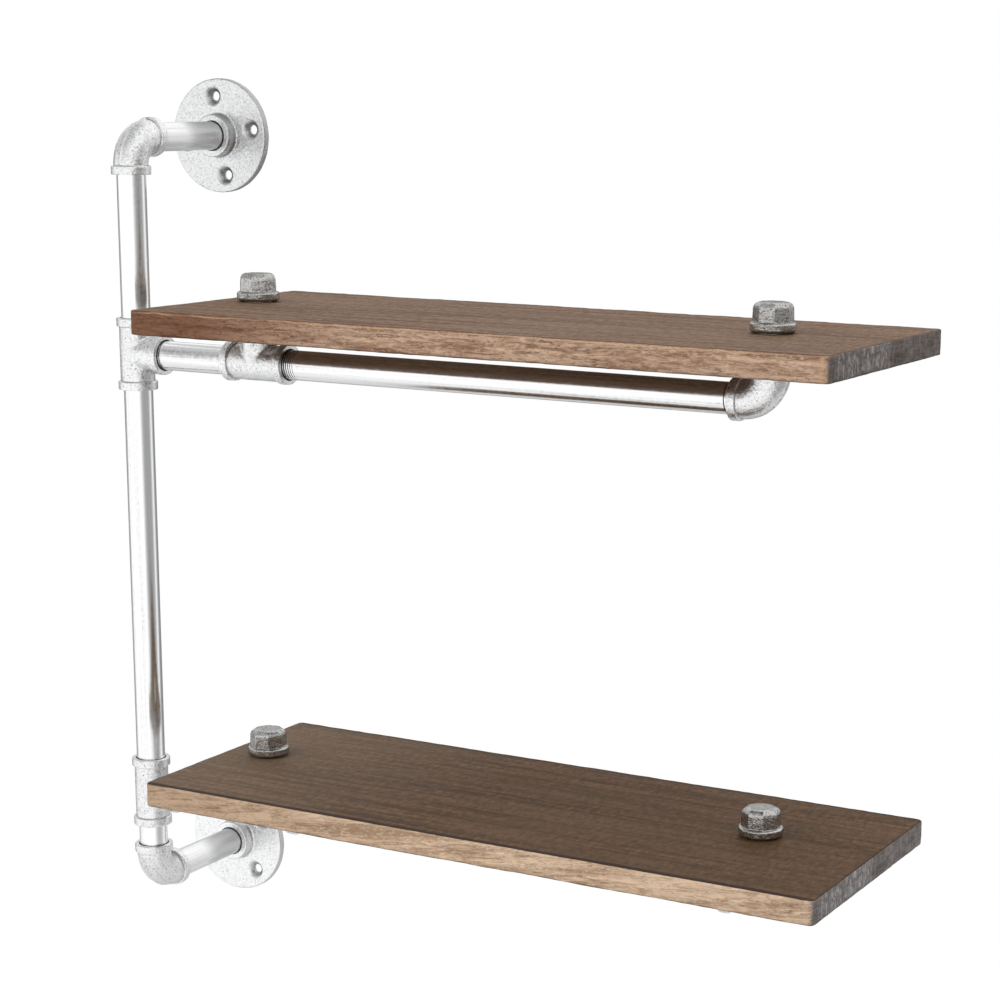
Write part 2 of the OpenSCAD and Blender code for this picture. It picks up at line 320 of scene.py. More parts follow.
def galvanised(name, along, seed, streak_share, roughness, shade_span=None):
    """Zinc on pipe drawn along one axis: streaks that follow it, and painted shade, a darker grey, from the
    span on.
    """
    material, shader, add, join = shader_sheet(name)
    place = add("TexCoord").outputs["Object"]

    def drawn(across, lengthwise, detail):
        """Cloudy marks drawn out along the pipe, so many to the metre each way."""
        scale = [across, across, across]
        scale[along] = lengthwise
        shift = (0.31 * seed, 0.17 * seed, 0.23 * seed)
        stretched = add("Mapping", None, Vector=place, Location=shift, Scale=scale).outputs[0]
        made = add("TexNoise", None, Vector=stretched, Scale=1.0, Detail=detail, Roughness=0.6)
        return made.outputs["Fac"]

    streaks = drawn(across=420.0, lengthwise=5.0, detail=3.0)
    broad = drawn(across=80.0, lengthwise=2.5, detail=2.0)
    mottled = add("TexNoise", None, Vector=place, Scale=330.0, Detail=5.0, Roughness=0.7).outputs["Fac"]
    blend = add("Mix", {"data_type": "FLOAT"}, Factor=streak_share, A=broad, B=streaks)
    blend = add("Mix", {"data_type": "FLOAT"}, Factor=0.22, A=blend.outputs[0], B=mottled)
    tone = add("ValToRGB", None, Fac=blend.outputs[0])
    ramp = tone.color_ramp
    ramp.elements[0].position = 0.35
    ramp.elements[0].color = (0.48, 0.475, 0.47, 1)
    ramp.elements[1].position = 0.53
    ramp.elements[1].color = (0.96, 0.965, 0.97, 1)
    ramp.elements.new(0.43).color = (0.84, 0.84, 0.84, 1)
    colour = tone.outputs["Color"]
    # From the span on towards its end the pipe is painted darker grey: painted shade.
    if shade_span:
        unshaded_end, shaded_end = shade_span
        ragged_by = 0.006
        shade_grey = (0.42, 0.42, 0.42, 1)
        at = add("SeparateXYZ", None, Vector=place).outputs[along]
        ragged = add("MapRange", None, Value=streaks, From_Min=0.3, From_Max=0.7,
                     To_Min=-ragged_by, To_Max=ragged_by)
        at = add("Math", {"operation": "ADD"}, i0=at, i1=ragged.outputs[0]).outputs[0]
        shade_amount = add("MapRange", None, Value=at, From_Min=unshaded_end, From_Max=shaded_end, To_Max=0.6)
        shaded_colour = add("Mix", {"data_type": "RGBA"}, Factor=shade_amount.outputs[0], A=colour, B=shade_grey)
        colour = shaded_colour.outputs[2]
    join(colour, "Base Color")
    shader.inputs["Metallic"].default_value = 1.0
    least, most = roughness
    rough = add("MapRange", None, Value=mottled, From_Min=0.3, From_Max=0.7, To_Min=least, To_Max=most)
    join(rough.outputs[0], "Roughness")
    ripple = add("Mix", {"data_type": "FLOAT"}, Factor=0.25, A=streaks, B=mottled)
    bump = add("Bump", None, Strength=0.22, Distance=0.00025, Height=ripple.outputs[0])
    join(bump.outputs[0], "Normal")
    return material


def cut_steel():
    """Bare steel of a cut thread, brown with oil. On the grooves' slopes it also paints their shade."""
    material, shader, add, join = shader_sheet("cut_thread_steel")
    place = add("TexCoord").outputs["Object"]
    smear = add("TexNoise", None, Vector=place, Scale=260.0, Detail=4.0, Roughness=0.6).outputs["Fac"]
    tone = add("ValToRGB", None, Fac=smear)
    ramp = tone.color_ramp
    ramp.elements[0].position = 0.38
    ramp.elements[0].color = (0.09, 0.07, 0.055, 1)
    ramp.elements[1].position = 0.62
    ramp.elements[1].color = (0.34, 0.29, 0.25, 1)
    join(tone.outputs["Color"], "Base Color")
    shader.inputs["Metallic"].default_value = 1.0
    shader.inputs["Roughness"].default_value = 0.34
    bump = add("Bump", None, Strength=0.3, Distance=0.0002, Height=smear)
    join(bump.outputs[0], "Normal")
    return material


oily_steel_and_groove_shade = cut_steel()
pipe_zinc = {
    "sideways": galvanised("galvanised_arm", along=0, seed=1, streak_share=0.55, roughness=(0.13, 0.25)),
    "inwards": galvanised("galvanised_wall_pipe", along=1, seed=2, streak_share=0.65,
                          roughness=(0.30, 0.44), shade_span=(-0.058, -0.046)),
    "upwards": galvanised("galvanised_column", along=2, seed=3, streak_share=0.50, roughness=(0.13, 0.24)),
}
directions = {"sideways": (0, sideways), "inwards": (1, inwards), "upwards": (2, upwards)}


def pipe(node, direction, low_turns=0, high_turns=0):
    """One length of pipe in the place of its node, with bare turns of thread at either end."""
    axis, turn = directions[direction]
    low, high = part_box(node)
    start = (low + high) / 2
    start[axis] = low[axis] + engaged_l
    span = high[axis] - low[axis] - 2 * engaged_l
    edge = 0.0002
    end = span + engaged_l
    outline = [
        (bore_r, -engaged_l), (thread_r - edge, -engaged_l), (thread_r, edge - engaged_l), (thread_r, 0),
        (pipe_r, 0), (pipe_r, span),
        (thread_r, span), (thread_r, end - edge), (thread_r - edge, end), (bore_r, end),
    ]
    piece = turned("pipe_" + node, outline, steps=96)
    if low_turns:
        from_start = Matrix.Translation((0, 0, thread_pitch / 4))
        shape(piece, "DIFFERENCE", settle(thread_cutter(low_turns), from_start))
    if high_turns:
        from_end = Matrix.Translation((0, 0, span - thread_pitch / 4)) @ upside_down
        shape(piece, "DIFFERENCE", settle(thread_cutter(high_turns), from_end))
    weld(piece)
    piece.data.materials.clear()
    piece.data.materials.append(pipe_zinc[direction])
    piece.data.materials.append(oily_steel_and_groove_shade)
    # The grooves' slopes are bare steel, dark as painted shade in the grooves. The crests between them keep
    # their zinc.
    run_out = 0.6
    slope = 0.3
    low_bare = (low_turns + run_out) * thread_pitch if low_turns else 0
    high_bare = span - (high_turns + run_out) * thread_pitch if high_turns else span
    for face in piece.data.polygons:
        threaded = face.center.z < low_bare or face.center.z > high_bare
        face.material_index = 1 if threaded and abs(face.normal.z) > slope else 0
    settle(piece, Matrix.Translation(start) @ turn)
    bpy.ops.object.shade_smooth_by_angle(angle=radians(35))
    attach(piece, "root")
    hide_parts(node)


pipe("upper_wall_pipe", "inwards")
pipe("lower_wall_pipe", "inwards")
pipe("upper_column_pipe", "upwards")
pipe("middle_column_pipe", "upwards")
pipe("lower_column_nipple", "upwards")
for level in ("upper", "lower"):
    pipe(level + "_arm_nipple", "sideways", low_turns=1)
    pipe(level + "_arm_pipe", "sideways", low_turns=5, high_turns=2)
    pipe(level + "_left_riser", "upwards")
    pipe(level + "_right_riser", "upwards")


# Fittings.
# Elbows and tees of malleable iron, cast in sand and galvanised: rough
# speckled skin, a strengthening band round every end, and a raised line all
# round where the two halves of the mould met.
fitting_end = 0.0265
fitting_r = 0.01265
band_r = 0.0144
band_w = 0.0062
bend_r = 0.020
socket_r = 0.01005
mouth_r = 0.0115
mouth_l = 0.0014
seam_rise = 0.0005
seam_w = 0.0013
body_grain = 0.0007
skin_grain = 0.00037
# A cutting tool reaches this far past the surface that it opens.
over = 0.001
thirds = (0, pi / 6, pi / 3, pi / 2)


def drum(radius, low, high, top_radius=None):
    """A round blank on the Z axis from one height to the other."""
    bpy.ops.object.select_all(action="DESELECT")
    bpy.ops.mesh.primitive_cone_add(vertices=80, radius1=radius, radius2=top_radius or radius,
                                    depth=high - low, location=(0, 0, (low + high) / 2))
    return settle(bpy.context.object)


def melt(piece, others, grain, rounds):
    """Runs overlapping blanks into one casting with soft inner corners, as molten metal does."""
    alone(piece)
    for other in others:
        other.select_set(True)
    if others:
        bpy.ops.object.join()
    modify(piece, "REMESH", mode="VOXEL", voxel_size=grain)
    return modify(piece, "SMOOTH", factor=0.5, iterations=rounds)


def roughen(piece, size, depth, mid_level=0.5):
    """Gives a skin lumps of one size and depth, as the sand of a mould leaves on a casting."""
    name = "sand_" + str(round(size * 1e5))
    sand = bpy.data.textures.get(name) or bpy.data.textures.new(name, "CLOUDS")
    sand.noise_scale = size
    sand.noise_depth = 2
    return modify(piece, "DISPLACE", texture=sand, texture_coords="LOCAL", strength=depth,
                  mid_level=mid_level)


def band():
    """The strengthening band at a limb's end, along +Z."""
    soft = 0.0005
    corner = [(band_r - soft + soft * sin(a), soft - soft * cos(a)) for a in thirds]
    low = [(r, fitting_end - band_w + z) for r, z in corner]
    high = [(r, fitting_end - z) for r, z in reversed(corner)]
    return turned("band", [(bore_r, fitting_end - band_w)] + low + high + [(bore_r, fitting_end)])


def seam_bar(length):
    """A thin upright slab that stands proud of a limb as the mould's parting line, along +Z."""
    bpy.ops.object.select_all(action="DESELECT")
    size = (2 * (fitting_r + seam_rise), seam_w, length)
    bpy.ops.mesh.primitive_cube_add(size=1, location=(0, 0, length / 2), scale=size)
    return settle(bpy.context.object)


def bent_bar(radius, half_width=None):
    """A quarter turn of bar from the X limb to the Z limb, round, or flat if it has a half width."""
    bpy.ops.object.select_all(action="DESELECT")
    if half_width is None:
        bpy.ops.mesh.primitive_circle_add(vertices=64, radius=radius, fill_type="NGON",
                                          location=(0, 0, bend_r))
    else:
        bpy.ops.mesh.primitive_plane_add(size=1, location=(0, 0, bend_r))
        bpy.context.object.scale = (2 * radius, 2 * half_width, 1)
    bar = settle(bpy.context.object)
    bpy.ops.object.mode_set(mode="EDIT")
    bpy.ops.mesh.select_all(action="SELECT")
    bpy.ops.mesh.spin(steps=28, angle=quarter, center=(bend_r, 0, bend_r), axis=(0, 1, 0),
                      use_auto_merge=False)
    bpy.ops.mesh.select_all(action="SELECT")
    bpy.ops.mesh.remove_doubles(threshold=1e-6)
    bpy.ops.mesh.normals_make_consistent(inside=False)
    bpy.ops.object.mode_set(mode="OBJECT")
    return bar


def limb_bore(start):
    """The tool that opens a limb along +Z: passage, socket and coned mouth."""
    cone_top = mouth_r + (mouth_r - socket_r) / mouth_l * over
    bore = drum(bore_r, start, fitting_end)
    shape(bore, "UNION", drum(socket_r, fitting_end - socket_l, fitting_end + over))
    return shape(bore, "UNION", drum(socket_r, fitting_end - mouth_l, fitting_end + over, cone_top))


def both_sides(make):
    """The same blank turned to +X and to -X."""
    return [settle(make(), Matrix.Rotation(turn, 4, "Y")) for turn in (quarter, -quarter)]


# A tee, with its run along X and its branch along +Z.
limb_l = 0.024
tee = settle(drum(fitting_r, -limb_l, limb_l), sideways)
melt(tee, [drum(fitting_r, 0, limb_l)], body_grain, rounds=12)
extras = [band(), seam_bar(limb_l)] + both_sides(band) + both_sides(lambda: seam_bar(limb_l))
melt(tee, extras, skin_grain, rounds=1)
tee_bore = limb_bore(0)
for tool in both_sides(lambda: limb_bore(-over)):
    shape(tee_bore, "UNION", tool)

# An elbow, open along +X and +Z. Its straight limbs reach a little into the bend.
reach_in = 0.002
limb_foot = bend_r - reach_in
elbow = bent_bar(fitting_r)
extras = [drum(fitting_r, limb_foot, limb_l), settle(drum(fitting_r, limb_foot, limb_l), sideways)]
extras += [bent_bar(fitting_r + seam_rise, seam_w / 2), band(), settle(band(), sideways)]
melt(elbow, extras, skin_grain, rounds=1)
elbow_bore = bent_bar(bore_r)
shape(elbow_bore, "UNION", limb_bore(limb_foot))
shape(elbow_bore, "UNION", settle(limb_bore(limb_foot), sideways))


def cast_zinc(name, light, grey, dark, speck_size, pit_share, patch_share, roughness, side_shade_share=0.0):
    """Zinc over a sand casting: light and grey grains, dark pits, and painted shade in inner corners and on
    sides.
    """
    material, shader, add, join = shader_sheet(name)
    place = add("TexCoord").outputs["Object"]

    def noise(scale, detail):
        """Cloudy marks, so many to the metre."""
        return add("TexNoise", None, Vector=place, Scale=scale, Detail=detail, Roughness=0.6).outputs["Fac"]

    grains = noise(1 / speck_size, detail=3.0)
    clouds = noise(330.0, detail=4.0)
    patches = noise(60.0, detail=3.0)
    blend = add("Mix", {"data_type": "FLOAT"}, Factor=0.65, A=clouds, B=grains)
    blend = add("Mix", {"data_type": "FLOAT"}, Factor=patch_share, A=blend.outputs[0], B=patches)
    tone = add("ValToRGB", None, Fac=blend.outputs[0])
    ramp = tone.color_ramp
    ramp.elements[0].position = 0.36
    ramp.elements[0].color = (*grey, 1)
    ramp.elements[1].position = 0.52
    ramp.elements[1].color = (*light, 1)
    # Inner corners, found by the mesh's pointiness, are darkened as painted shade.
    hollow = add("NewGeometry").outputs["Pointiness"]
    corner_shade = add("MapRange", None, Value=hollow, From_Min=0.44, From_Max=0.492, To_Min=1.0, To_Max=0.0)
    pitted = noise(0.8 / speck_size, detail=2.0)
    pits = add("MapRange", None, Value=pitted, From_Min=0.66 - pit_share, From_Max=0.72 - pit_share)
    pits_and_corner_shade = add("Math", {"operation": "MAXIMUM"}, i0=corner_shade.outputs[0], i1=pits.outputs[0])
    colour = tone.outputs["Color"]
    colour = add("Mix", {"data_type": "RGBA"}, Factor=pits_and_corner_shade.outputs[0], A=colour, B=(*dark, 1)).outputs[2]
    # A flange is painted darker, as shade, wherever its skin doesn't face the room: hub, rim and
    # countersinks.
    facing = add("SeparateXYZ", None, Vector=add("NewGeometry").outputs["Normal"]).outputs[1]
    forward = add("Math", {"operation": "ABSOLUTE"}, i0=facing)
    side = add("MapRange", None, Value=forward.outputs[0], From_Min=0.74, From_Max=0.93,
               To_Min=side_shade_share, To_Max=0.0)
    colour = add("Mix", {"data_type": "RGBA"}, Factor=side.outputs[0], A=colour, B=(*dark, 1)).outputs[2]
    join(colour, "Base Color")
    shader.inputs["Metallic"].default_value = 1.0
    low_rough, high_rough = roughness
    rough = add("MapRange", None, Value=clouds, From_Min=0.3, From_Max=0.7,
                To_Min=low_rough, To_Max=high_rough)
    join(rough.outputs[0], "Roughness")
    height = add("Mix", {"data_type": "FLOAT"}, Factor=0.6, A=clouds, B=grains)
    bump = add("Bump", None, Strength=0.7, Distance=0.0005, Height=height.outputs[0])
    join(bump.outputs[0], "Normal")
    return material


fitting_zinc = cast_zinc("cast_zinc", (0.91, 0.915, 0.92), (0.56, 0.56, 0.56), (0.28, 0.27, 0.26),
                         speck_size=0.0012, pit_share=0.04, patch_share=0.14, roughness=(0.26, 0.40))


def bored_iron():
    """Iron of a bored socket, bare and oily, and painted almost black as shade inside the socket."""
    material, shader, add, join = shader_sheet("bored_iron")
    place = add("TexCoord").outputs["Object"]
    smear = add("TexNoise", None, Vector=place, Scale=300.0, Detail=3.0).outputs["Fac"]
    oily_and_shade_black, dry = (0.02, 0.018, 0.016, 1), (0.10, 0.09, 0.08, 1)
    tone = add("Mix", {"data_type": "RGBA"}, Factor=smear, A=oily_and_shade_black, B=dry)
    join(tone.outputs[2], "Base Color")
    shader.inputs["Metallic"].default_value = 0.6
    shader.inputs["Roughness"].default_value = 0.5
    bump = add("Bump", None, Strength=0.3, Distance=0.0002, Height=smear)
    join(bump.outputs[0], "Normal")
    return material


bore_skin_and_shade = bored_iron()


def copied(blank, name, where):
    """A copy of a blank with a mesh of its own, put in its place."""
    piece = blank.copy()
    piece.data = blank.data.copy()
    piece.name = name
    bpy.context.scene.collection.objects.link(piece)
    return settle(piece, where)


def cast_piece(blank, bore, node, where, finish, sand, bored=lambda spot: True):
    """Casts a blank in its place. Its skin takes the sand's grain, then the tool cuts it.

    The cut is bare iron where bored says yes to a spot on the blank, and has the skin's finish elsewhere.
    """
    piece = copied(blank, "cast_" + node, where)
    for size, depth in sand:
        roughen(piece, size, depth)
    tool = copied(bore, "bore", where)
    for ware in (piece, tool):
        ware.data.materials.clear()
        ware.data.materials.append(finish)
        ware.data.materials.append(bore_skin_and_shade)
    to_blank = where.inverted()
    for face in tool.data.polygons:
        face.material_index = 1 if bored(to_blank @ face.center) else 0
    shape(piece, "DIFFERENCE", tool)
    weld(piece)
    bpy.ops.object.shade_smooth_by_angle(angle=radians(50))
    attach(piece, "root")
    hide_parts(node)


column_y = middle("upper_column_pipe").y
upper_tee_z = middle("upper_column_tee").z
lower_tee_z = middle("lower_column_tee").z
foot_z = middle("lower_flange").z
arm_start = middle("upper_left_cap").x
arm_end = middle("upper_right_cap").x
fine_sand = ((0.0014, 0.00022), (0.006, 0.0003))


def on_column(x, z):
    """A place in the upright plane of the column and its arms."""
    return Matrix.Translation((x, column_y, z))


def fitting(blank, bore, node, where):
    """One elbow or tee in its place."""
    cast_piece(blank, bore, node, where, fitting_zinc, fine_sand)


half_turn = Matrix.Rotation(2 * quarter, 4, "Z")
to_wall = Matrix.Rotation(quarter, 4, "Z")
for level, z in (("upper", upper_tee_z), ("lower", lower_tee_z)):
    fitting(tee, tee_bore, level + "_column_tee", on_column(0, z) @ sideways)
    fitting(tee, tee_bore, level + "_arm_tee", on_column(arm_start, z))
    fitting(elbow, elbow_bore, level + "_arm_elbow", on_column(arm_end, z) @ half_turn)
fitting(elbow, elbow_bore, "upper_wall_elbow", on_column(0, 0) @ to_wall @ upside_down)
fitting(elbow, elbow_bore, "lower_wall_elbow", on_column(0, foot_z) @ to_wall)
for blank in (tee, tee_bore, elbow, elbow_bore):
    bpy.data.objects.remove(blank)


# Wall flanges.
# Round malleable castings, screwed on the wall through four countersunk
# holes, with a short threaded hub for the wall pipe.
flange_r = 0.0428
flange_t = 0.006
hub_r = 0.01595
hub_h = 0.015
fillet_r = 0.0015
rim_r = 0.0009
hole_r = 0.0035
sink_r = 0.00775
sink_h = 0.004
screw_circle_r = 0.030
screw_count = 4
flange_grain = 0.00045
# The blank is cast a little too thick at its back, and a slab that cuts there planes it flat.
spare = 0.0004
slab_t = 0.004
outline = [(hole_r, -spare), (flange_r - rim_r, -spare)]
outline += [(flange_r - rim_r + rim_r * sin(a), rim_r - rim_r * cos(a)) for a in thirds[1:]]
outline += [(flange_r - rim_r + rim_r * cos(a), flange_t - rim_r + rim_r * sin(a)) for a in thirds]
outline += [(hub_r + fillet_r - fillet_r * sin(a), flange_t + fillet_r - fillet_r * cos(a)) for a in thirds]
outline += [(hub_r - rim_r + rim_r * cos(a), hub_h - rim_r + rim_r * sin(a)) for a in thirds]
outline += [(hole_r, hub_h)]
flange = turned("flange_blank", outline, steps=128)
melt(flange, [], flange_grain, rounds=1)
flange_bore = drum(socket_r, -over, hub_h + over)
shape(flange_bore, "UNION", drum(socket_r, hub_h - mouth_l, hub_h + over, mouth_r + over))
cone_top = sink_r + (sink_r - hole_r) / sink_h * over
for i in range(screw_count):
    hole = drum(hole_r, -over, flange_t + over)
    shape(hole, "UNION", drum(hole_r, flange_t - sink_h, flange_t + over, cone_top))
    around = i * 2 * pi / screw_count
    spot = Matrix.Translation((screw_circle_r * cos(around), screw_circle_r * sin(around), 0))
    shape(flange_bore, "UNION", settle(hole, spot))
bpy.ops.object.select_all(action="DESELECT")
bpy.ops.mesh.primitive_cube_add(size=1, location=(0, 0, -slab_t / 2), scale=(0.1, 0.1, slab_t))
shape(flange_bore, "UNION", settle(bpy.context.object))


def in_socket(spot):
    """True in the hub's socket. The screw holes and the planed back keep their zinc."""
    off_back = spot.z > 0.0002
    near_axis = Vector((spot.x, spot.y)).length < mouth_r + over
    return off_back and near_axis


# The two flanges are one zinc in two copies: the upper one painted darker as shade, the lower one paler as
# light.
flange_zincs = {
    "upper": cast_zinc("upper_flange_zinc_painted_shade", (0.82, 0.825, 0.83), (0.54, 0.545, 0.55), (0.24, 0.24, 0.24),
                       speck_size=0.0011, pit_share=0.0, patch_share=0.0, roughness=(0.24, 0.34),
                       side_shade_share=0.6),
    "lower": cast_zinc("lower_flange_zinc_painted_light", (0.96, 0.965, 0.97), (0.74, 0.745, 0.75), (0.30, 0.30, 0.30),
                       speck_size=0.0011, pit_share=0.0, patch_share=0.0, roughness=(0.24, 0.34),
                       side_shade_share=0.4),
}
# Each flange was screwed up with its holes at an angle of its own.
flange_turns = (("upper", 0, 9.5), ("lower", foot_z, 35.5))
for level, z, turn in flange_turns:
    facing = Matrix.Rotation(quarter, 4, "X") @ Matrix.Rotation(radians(turn), 4, "Z")
    where = Matrix.Translation((0, 0, z)) @ facing
    cast_piece(flange, flange_bore, level + "_flange", where, flange_zincs[level],
               fine_sand, in_socket)
for blank in (flange, flange_bore):
    bpy.data.objects.remove(blank)


# Boards.
# Two solid planks with eased edges, stained brown, their narrow front sides
# paler. Each is drilled for its two risers, and its edges are worn by hand.
board_l, board_d, board_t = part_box("upper_board")[1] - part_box("upper_board")[0]
corner_r = 0.005
edge_r = 0.0015
riser_hole_r = 0.01125
strip_w = 0.004
# Wear only takes wood away: long waves in the planed faces, and small dents in them and at the edges.
wear = ((0.045, 0.0006), (0.006, 0.00045))


def pick_edges(piece, wanted):
    """Opens a piece for editing with only those edges selected whose two ends pass the test."""
    alone(piece)
    bpy.ops.object.mode_set(mode="EDIT")
    bpy.ops.mesh.select_mode(type="EDGE")
    bpy.ops.mesh.select_all(action="DESELECT")
    bpy.ops.object.mode_set(mode="OBJECT")
    points = [v.co for v in piece.data.vertices]
    for edge in piece.data.edges:
        edge.select = wanted(points[edge.vertices[0]], points[edge.vertices[1]])
    bpy.ops.object.mode_set(mode="EDIT")


def plank():
    """A board blank with its middle at the origin, cut into narrow strips that wear can dent."""
    bpy.ops.object.select_all(action="DESELECT")
    bpy.ops.mesh.primitive_cube_add(size=1, location=(0, 0, 0), scale=(board_l, board_d, board_t))
    blank = settle(bpy.context.object)
    pick_edges(blank, lambda a, b: abs(a.z - b.z) > board_t / 2)
    bpy.ops.mesh.bevel(offset=corner_r, segments=6)
    bpy.ops.object.mode_set(mode="OBJECT")
    pick_edges(blank, lambda a, b: abs(a.z - b.z) < edge_r / 2)
    bpy.ops.mesh.bevel(offset=edge_r, segments=3)
    for axis, length in enumerate((board_l, board_d, board_t)):
        cuts = round(length / strip_w)
        for i in range(1, cuts):
            spot = Vector()
            spot[axis] = (i / cuts - 0.5) * length
            square = Vector()
            square[axis] = 1
            bpy.ops.mesh.select_all(action="SELECT")
            bpy.ops.mesh.bisect(plane_co=spot, plane_no=square)
    bpy.ops.object.mode_set(mode="OBJECT")
    return blank


def plank_wood(name, centre, look):
    """Stained wood of the board at a centre. Its look holds its colours and its shares of marks."""
    material, shader, add, join = shader_sheet(name)
    place = add("TexCoord").outputs["Object"]
    place = add("Mapping", None, Vector=place, Location=tuple(-c for c in centre)).outputs[0]

    def noise(scale, detail=3.0, roughness=0.55, distortion=0.0, slant=0.0):
        """Cloudy marks, so many to the metre along X, Y and Z. A slant tilts them out of level."""
        slanted = add("Mapping", None, Vector=place, Rotation=(0.0, slant, 0.0))
        stretched = add("Mapping", None, Vector=slanted.outputs[0], Scale=scale)
        made = add("TexNoise", None, Vector=stretched.outputs[0], Scale=1.0, Detail=detail,
                   Roughness=roughness, Distortion=distortion)
        return made.outputs["Fac"]

    def ramp(value, low, high, start=0.0, end=1.0):
        """Goes from start to end while the value goes from low to high."""
        made = add("MapRange", None, Value=value, From_Min=low, From_Max=high, To_Min=start, To_Max=end)
        return made.outputs[0]

    def maths(how, a, b):
        """One step of arithmetic."""
        return add("Math", {"operation": how}, i0=a, i1=b).outputs[0]

    def mix(share, a, b):
        """Colour a, with a share of colour b over it."""
        a, b = [(*c, 1) if isinstance(c, tuple) else c for c in (a, b)]
        return add("Mix", {"data_type": "RGBA"}, Factor=share, A=a, B=b).outputs[2]

    # Distances from the six sides wander a little, so that no line of stain looks ruled.
    ragged_by = 0.0005
    apart = add("SeparateXYZ", None, Vector=place).outputs
    wander = ramp(noise((60.0, 60.0, 60.0), detail=4.0), 0.3, 0.7, -ragged_by, ragged_by)
    from_front = maths("ADD", maths("ADD", apart[1], board_d / 2), wander)
    from_back = maths("ADD", maths("SUBTRACT", board_d / 2, apart[1]), wander)
    from_top = maths("ADD", maths("SUBTRACT", board_t / 2, apart[2]), wander)
    from_bottom = maths("ADD", maths("ADD", apart[2], board_t / 2), wander)
    from_right = maths("ADD", maths("SUBTRACT", board_l / 2, apart[0]), wander)
    from_left = maths("ADD", maths("ADD", apart[0], board_l / 2), wander)

    # The broad faces show long fibres, short dark pores and slow changes of tone.
    fibres = noise((14.0, 420.0, 420.0), detail=5.0, roughness=0.65, distortion=0.2)
    streaks = noise((5.0, 150.0, 150.0), distortion=0.4)
    slow = noise((4.0, 12.0, 12.0), detail=2.0)
    pores = ramp(noise((130.0, 1300.0, 1300.0), detail=2.0), 0.56, 0.68)
    mottle = noise((240.0, 130.0, 130.0), detail=4.0, roughness=0.7)
    speckle = noise((330.0, 120.0, 120.0), detail=4.0, roughness=0.8)
    grain = maths("ADD", maths("MULTIPLY", fibres, 0.3), maths("MULTIPLY", streaks, 0.25))
    grain = maths("ADD", grain, maths("ADD", maths("MULTIPLY", slow, 0.15), maths("MULTIPLY", mottle, 0.3)))
    level = ramp(grain, 0.45, 0.55)
    hue = ramp(noise((9.0, 30.0, 30.0)), 0.42, 0.58, 0.0, 0.5)
    face = mix(hue, mix(level, look["face_dark"], look["face"]), look["face_olive"])
    face = mix(ramp(speckle, 0.38, 0.54, 0.75, 0.0), face, look["face_dark"])
    # The lower board's top is paler towards its left end: a painted sheen.
    along = maths("ADD", apart[0], board_l / 2)
    face = mix(ramp(along, 0.02, 0.22, look["left_sheen"], 0.0), face, look["fleck"])
    face = mix(maths("MULTIPLY", pores, 0.6), face, look["pore"])

    # The narrow sides show wavy figure, pale flecks and open pores.
    slant = look["slant"]
    figure = noise((34.0, 300.0, 300.0), detail=4.0, roughness=0.6, distortion=1.6, slant=slant)
    bands = noise((6.0, 90.0, 90.0), roughness=0.5, distortion=0.8, slant=slant)
    side = ramp(maths("ADD", maths("MULTIPLY", figure, 0.5), maths("MULTIPLY", bands, 0.5)), 0.42, 0.57)
    front = mix(side, look["front_dark"], look["front"])
    flecks = noise((240.0, 700.0, 700.0), roughness=0.6, distortion=0.6, slant=slant)
    flecks = ramp(flecks, 0.53, 0.66)
    front = mix(maths("MULTIPLY", flecks, 0.5), front, look["fleck"])
    dots = noise((170.0, 760.0, 760.0), roughness=0.6, distortion=1.4, slant=slant)
    dots = ramp(dots, 0.53, 0.66)
    front = mix(maths("MULTIPLY", dots, look["dot_share"]), front, look["pore"])
    # The front is darker towards its left end, which is painted shade, and darker towards its foot.
    left_shade_and_foot_mask = maths("MAXIMUM", ramp(along, 0.06, 0.20, 1.0, 0.0), ramp(from_bottom, 0.0, 0.007, 0.25, 0.0))
    left_shade_and_foot_mask = maths("MULTIPLY", left_shade_and_foot_mask, look["left_shade_and_foot_share"])
    front = add("Mix", {"data_type": "RGBA", "blend_type": "MULTIPLY"}, Factor=left_shade_and_foot_mask, A=front,
                B=(*look["left_shade_and_foot_tint"], 1)).outputs[2]

    # The ends show end grain like a fine weave, and pale scratches of the saw near the front.
    saw = noise((300.0, 330.0, 260.0), detail=4.0, roughness=0.75, distortion=0.5)
    rings = noise((60.0, 90.0, 620.0), roughness=0.7, distortion=0.6)
    strokes = noise((60.0, 620.0, 90.0), roughness=0.7, distortion=0.6)
    blotches = noise((50.0, 40.0, 90.0), roughness=0.6)
    weave = maths("ADD", maths("MULTIPLY", rings, 0.3), maths("MULTIPLY", strokes, 0.3))
    weave = maths("ADD", weave, maths("ADD", maths("MULTIPLY", saw, 0.2), maths("MULTIPLY", blotches, 0.2)))
    end = mix(ramp(weave, 0.43, 0.57), look["end_dark"], look["end"])
    scratches = noise((60.0, 420.0, 120.0), detail=4.0, roughness=0.7, distortion=1.2)
    scratches = ramp(scratches, 0.48, 0.58)
    scratches = maths("MULTIPLY", scratches, ramp(blotches, 0.40, 0.50, 0.15, 1.0))
    scratches = maths("MULTIPLY", scratches, ramp(from_front, 0.085, 0.11, 0.9, 0.12))
    scratches = maths("MULTIPLY", scratches, ramp(from_front, 0.006, 0.016, 0.2, 1.0))
    end = mix(scratches, end, look["scratch"])

    # Each side takes the wood that faces its way.
    facing = add("SeparateXYZ", None, Vector=add("NewGeometry").outputs["Normal"]).outputs
    on_face = ramp(maths("ABSOLUTE", facing[2], 0.0), 0.55, 0.8)
    on_end = ramp(maths("ABSOLUTE", facing[0], 0.0), 0.55, 0.8)
    colour = mix(on_face, mix(on_end, front, end), face)
    sides = maths("SUBTRACT", 1.0, on_face)
